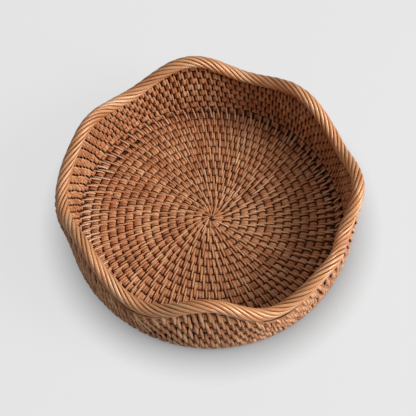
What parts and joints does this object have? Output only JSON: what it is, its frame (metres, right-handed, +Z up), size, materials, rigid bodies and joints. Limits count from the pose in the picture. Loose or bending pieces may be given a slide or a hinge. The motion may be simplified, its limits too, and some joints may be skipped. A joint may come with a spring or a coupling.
{
  "type": "coiled rattan basket",
  "caption": "Shallow round open basket of coiled rattan with a wavy rope-like lashed rim, for bread, fruit or small things.",
  "frame": {"origin": "on the surface that the basket stands on, under the middle of its outline", "axes": "+Z up out of the open top; -Y towards the side that faces the viewer in the picture"},
  "size_m": [0.2826, 0.2714, 0.0835],
  "materials": {
    "cane": "satin",
    "splint": "satin",
    "lashing": "semi-gloss varnish"
  },
  "bodies": {
    "root": {"base_coil": "cane", "wall_coil": "cane", "base_stitching": "splint", "rim_core": "cane", "rim_lashing_01": "lashing", "rim_lashing_02": "lashing", "rim_lashing_03": "lashing", "rim_lashing_04": "lashing", "rim_lashing_05": "lashing", "rim_lashing_06": "lashing", "rim_lashing_07": "lashing", "rim_lashing_08": "lashing"}
  },
  "joints": []
}
